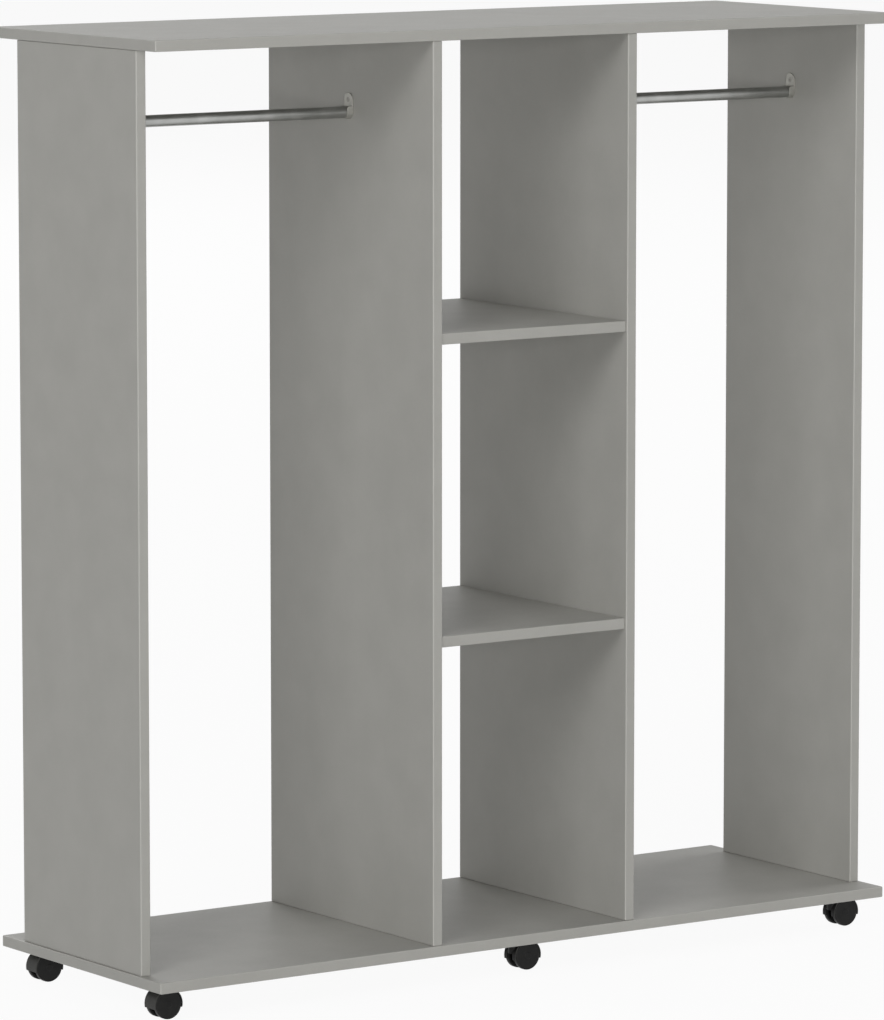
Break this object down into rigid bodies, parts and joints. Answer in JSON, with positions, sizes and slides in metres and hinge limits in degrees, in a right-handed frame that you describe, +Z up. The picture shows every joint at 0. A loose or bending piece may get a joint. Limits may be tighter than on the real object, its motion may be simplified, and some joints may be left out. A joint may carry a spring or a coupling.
{
  "type": "open wardrobe",
  "caption": "Open wardrobe of grey boards on swivel casters, with a hanging rail in each outer bay and shelves in the middle bay.",
  "frame": {"origin": "on the floor under the middle of the base", "axes": "+X to the right as seen from the front, +Y to the back, +Z up"},
  "size_m": [1.2, 0.4, 1.285],
  "materials": {
    "grey_board": "matt grey melamine on particleboard, with edge band",
    "nickel_casting": "satin nickel on a casting",
    "chrome_tube": "bright chrome on drawn steel tube",
    "zinc_plated_steel": "zinc plated",
    "zinc_casting": "bare cast zinc",
    "beech": "bare beech",
    "grey_cover": "matt grey film",
    "stem_steel": "zinc plated",
    "black_hood": "moulded, satin",
    "axle_steel": "drawn and bright",
    "black_wheel": "moulded, satin"
  },
  "bodies": {
    "carcass": {"top_panel": "grey_board", "base_panel": "grey_board", "left_side_panel": "grey_board", "right_side_panel": "grey_board", "left_divider": "grey_board", "right_divider": "grey_board", "upper_shelf": "grey_board", "lower_shelf": "grey_board", "left_rail_outer_socket": "nickel_casting", "left_rail_inner_socket": "nickel_casting", "right_rail_inner_socket": "nickel_casting", "right_rail_outer_socket": "nickel_casting", "top_screws": "zinc_plated_steel", "base_screws": "zinc_plated_steel", "socket_screws": "zinc_plated_steel", "shelf_cam_bolts": "zinc_plated_steel", "shelf_cam_locks": "zinc_casting", "caster_inserts": "zinc_casting", "top_dowels": "beech", "base_dowels": "beech", "shelf_dowels": "beech", "top_screw_covers": "grey_cover", "front_left_caster_stem": "stem_steel", "front_middle_caster_stem": "stem_steel", "front_right_caster_stem": "stem_steel", "rear_left_caster_stem": "stem_steel", "rear_middle_caster_stem": "stem_steel", "rear_right_caster_stem": "stem_steel"},
    "front_left_caster": {"front_left_caster_hood": "black_hood", "front_left_caster_axle": "axle_steel"},
    "front_left_caster_front_wheel_turning": {"front_left_caster_front_wheel": "black_wheel"},
    "front_left_caster_rear_wheel_turning": {"front_left_caster_rear_wheel": "black_wheel"},
    "front_middle_caster": {"front_middle_caster_hood": "black_hood", "front_middle_caster_axle": "axle_steel"},
    "front_middle_caster_front_wheel_turning": {"front_middle_caster_front_wheel": "black_wheel"},
    "front_middle_caster_rear_wheel_turning": {"front_middle_caster_rear_wheel": "black_wheel"},
    "front_right_caster": {"front_right_caster_hood": "black_hood", "front_right_caster_axle": "axle_steel"},
    "front_right_caster_front_wheel_turning": {"front_right_caster_front_wheel": "black_wheel"},
    "front_right_caster_rear_wheel_turning": {"front_right_caster_rear_wheel": "black_wheel"},
    "rear_left_caster": {"rear_left_caster_hood": "black_hood", "rear_left_caster_axle": "axle_steel"},
    "rear_left_caster_front_wheel_turning": {"rear_left_caster_front_wheel": "black_wheel"},
    "rear_left_caster_rear_wheel_turning": {"rear_left_caster_rear_wheel": "black_wheel"},
    "rear_middle_caster": {"rear_middle_caster_hood": "black_hood", "rear_middle_caster_axle": "axle_steel"},
    "rear_middle_caster_front_wheel_turning": {"rear_middle_caster_front_wheel": "black_wheel"},
    "rear_middle_caster_rear_wheel_turning": {"rear_middle_caster_rear_wheel": "black_wheel"},
    "rear_right_caster": {"rear_right_caster_hood": "black_hood", "rear_right_caster_axle": "axle_steel"},
    "rear_right_caster_front_wheel_turning": {"rear_right_caster_front_wheel": "black_wheel"},
    "rear_right_caster_rear_wheel_turning": {"rear_right_caster_rear_wheel": "black_wheel"},
    "left_rail_loose": {"left_rail": "chrome_tube"},
    "right_rail_loose": {"right_rail": "chrome_tube"}
  },
  "joints": [
    {"name": "front_left_caster_swivel", "type": "hinge", "parent": "carcass", "child": "front_left_caster", "pos_m": [-0.55, -0.15, 0.0334], "axis": [0, 0, 1], "continuous": true},
    {"name": "front_left_caster_front_wheel_spin", "type": "hinge", "parent": "front_left_caster", "child": "front_left_caster_front_wheel_turning", "pos_m": [-0.564, -0.15, 0.0195], "axis": [0, 1, 0], "continuous": true},
    {"name": "front_left_caster_rear_wheel_spin", "type": "hinge", "parent": "front_left_caster", "child": "front_left_caster_rear_wheel_turning", "pos_m": [-0.564, -0.15, 0.0195], "axis": [0, 1, 0], "continuous": true},
    {"name": "front_middle_caster_swivel", "type": "hinge", "parent": "carcass", "child": "front_middle_caster", "pos_m": [0, -0.15, 0.0334], "axis": [0, 0, 1], "continuous": true},
    {"name": "front_middle_caster_front_wheel_spin", "type": "hinge", "parent": "front_middle_caster", "child": "front_middle_caster_front_wheel_turning", "pos_m": [0.014, -0.15, 0.0195], "axis": [0, 1, 0], "continuous": true},
    {"name": "front_middle_caster_rear_wheel_spin", "type": "hinge", "parent": "front_middle_caster", "child": "front_middle_caster_rear_wheel_turning", "pos_m": [0.014, -0.15, 0.0195], "axis": [0, 1, 0], "continuous": true},
    {"name": "front_right_caster_swivel", "type": "hinge", "parent": "carcass", "child": "front_right_caster", "pos_m": [0.55, -0.15, 0.0334], "axis": [0, 0, 1], "continuous": true},
    {"name": "front_right_caster_front_wheel_spin", "type": "hinge", "parent": "front_right_caster", "child": "front_right_caster_front_wheel_turning", "pos_m": [0.564, -0.15, 0.0195], "axis": [0, 1, 0], "continuous": true},
    {"name": "front_right_caster_rear_wheel_spin", "type": "hinge", "parent": "front_right_caster", "child": "front_right_caster_rear_wheel_turning", "pos_m": [0.564, -0.15, 0.0195], "axis": [0, 1, 0], "continuous": true},
    {"name": "rear_left_caster_swivel", "type": "hinge", "parent": "carcass", "child": "rear_left_caster", "pos_m": [-0.55, 0.15, 0.0334], "axis": [0, 0, 1], "continuous": true},
    {"name": "rear_left_caster_front_wheel_spin", "type": "hinge", "parent": "rear_left_caster", "child": "rear_left_caster_front_wheel_turning", "pos_m": [-0.564, 0.15, 0.0195], "axis": [0, 1, 0], "continuous": true},
    {"name": "rear_left_caster_rear_wheel_spin", "type": "hinge", "parent": "rear_left_caster", "child": "rear_left_caster_rear_wheel_turning", "pos_m": [-0.564, 0.15, 0.0195], "axis": [0, 1, 0], "continuous": true},
    {"name": "rear_middle_caster_swivel", "type": "hinge", "parent": "carcass", "child": "rear_middle_caster", "pos_m": [0, 0.15, 0.0334], "axis": [0, 0, 1], "continuous": true},
    {"name": "rear_middle_caster_front_wheel_spin", "type": "hinge", "parent": "rear_middle_caster", "child": "rear_middle_caster_front_wheel_turning", "pos_m": [0.014, 0.15, 0.0195], "axis": [0, 1, 0], "continuous": true},
    {"name": "rear_middle_caster_rear_wheel_spin", "type": "hinge", "parent": "rear_middle_caster", "child": "rear_middle_caster_rear_wheel_turning", "pos_m": [0.014, 0.15, 0.0195], "axis": [0, 1, 0], "continuous": true},
    {"name": "rear_right_caster_swivel", "type": "hinge", "parent": "carcass", "child": "rear_right_caster", "pos_m": [0.55, 0.15, 0.0334], "axis": [0, 0, 1], "continuous": true},
    {"name": "rear_right_caster_front_wheel_spin", "type": "hinge", "parent": "rear_right_caster", "child": "rear_right_caster_front_wheel_turning", "pos_m": [0.564, 0.15, 0.0195], "axis": [0, 1, 0], "continuous": true},
    {"name": "rear_right_caster_rear_wheel_spin", "type": "hinge", "parent": "rear_right_caster", "child": "rear_right_caster_rear_wheel_turning", "pos_m": [0.564, 0.15, 0.0195], "axis": [0, 1, 0], "continuous": true},
    {"name": "left_rail_lift", "type": "slide", "parent": "carcass", "child": "left_rail_loose", "axis": [0, 0, 1], "range_m": [0, 0.06]},
    {"name": "right_rail_lift", "type": "slide", "parent": "carcass", "child": "right_rail_loose", "axis": [0, 0, 1], "range_m": [0, 0.06]}
  ]
}
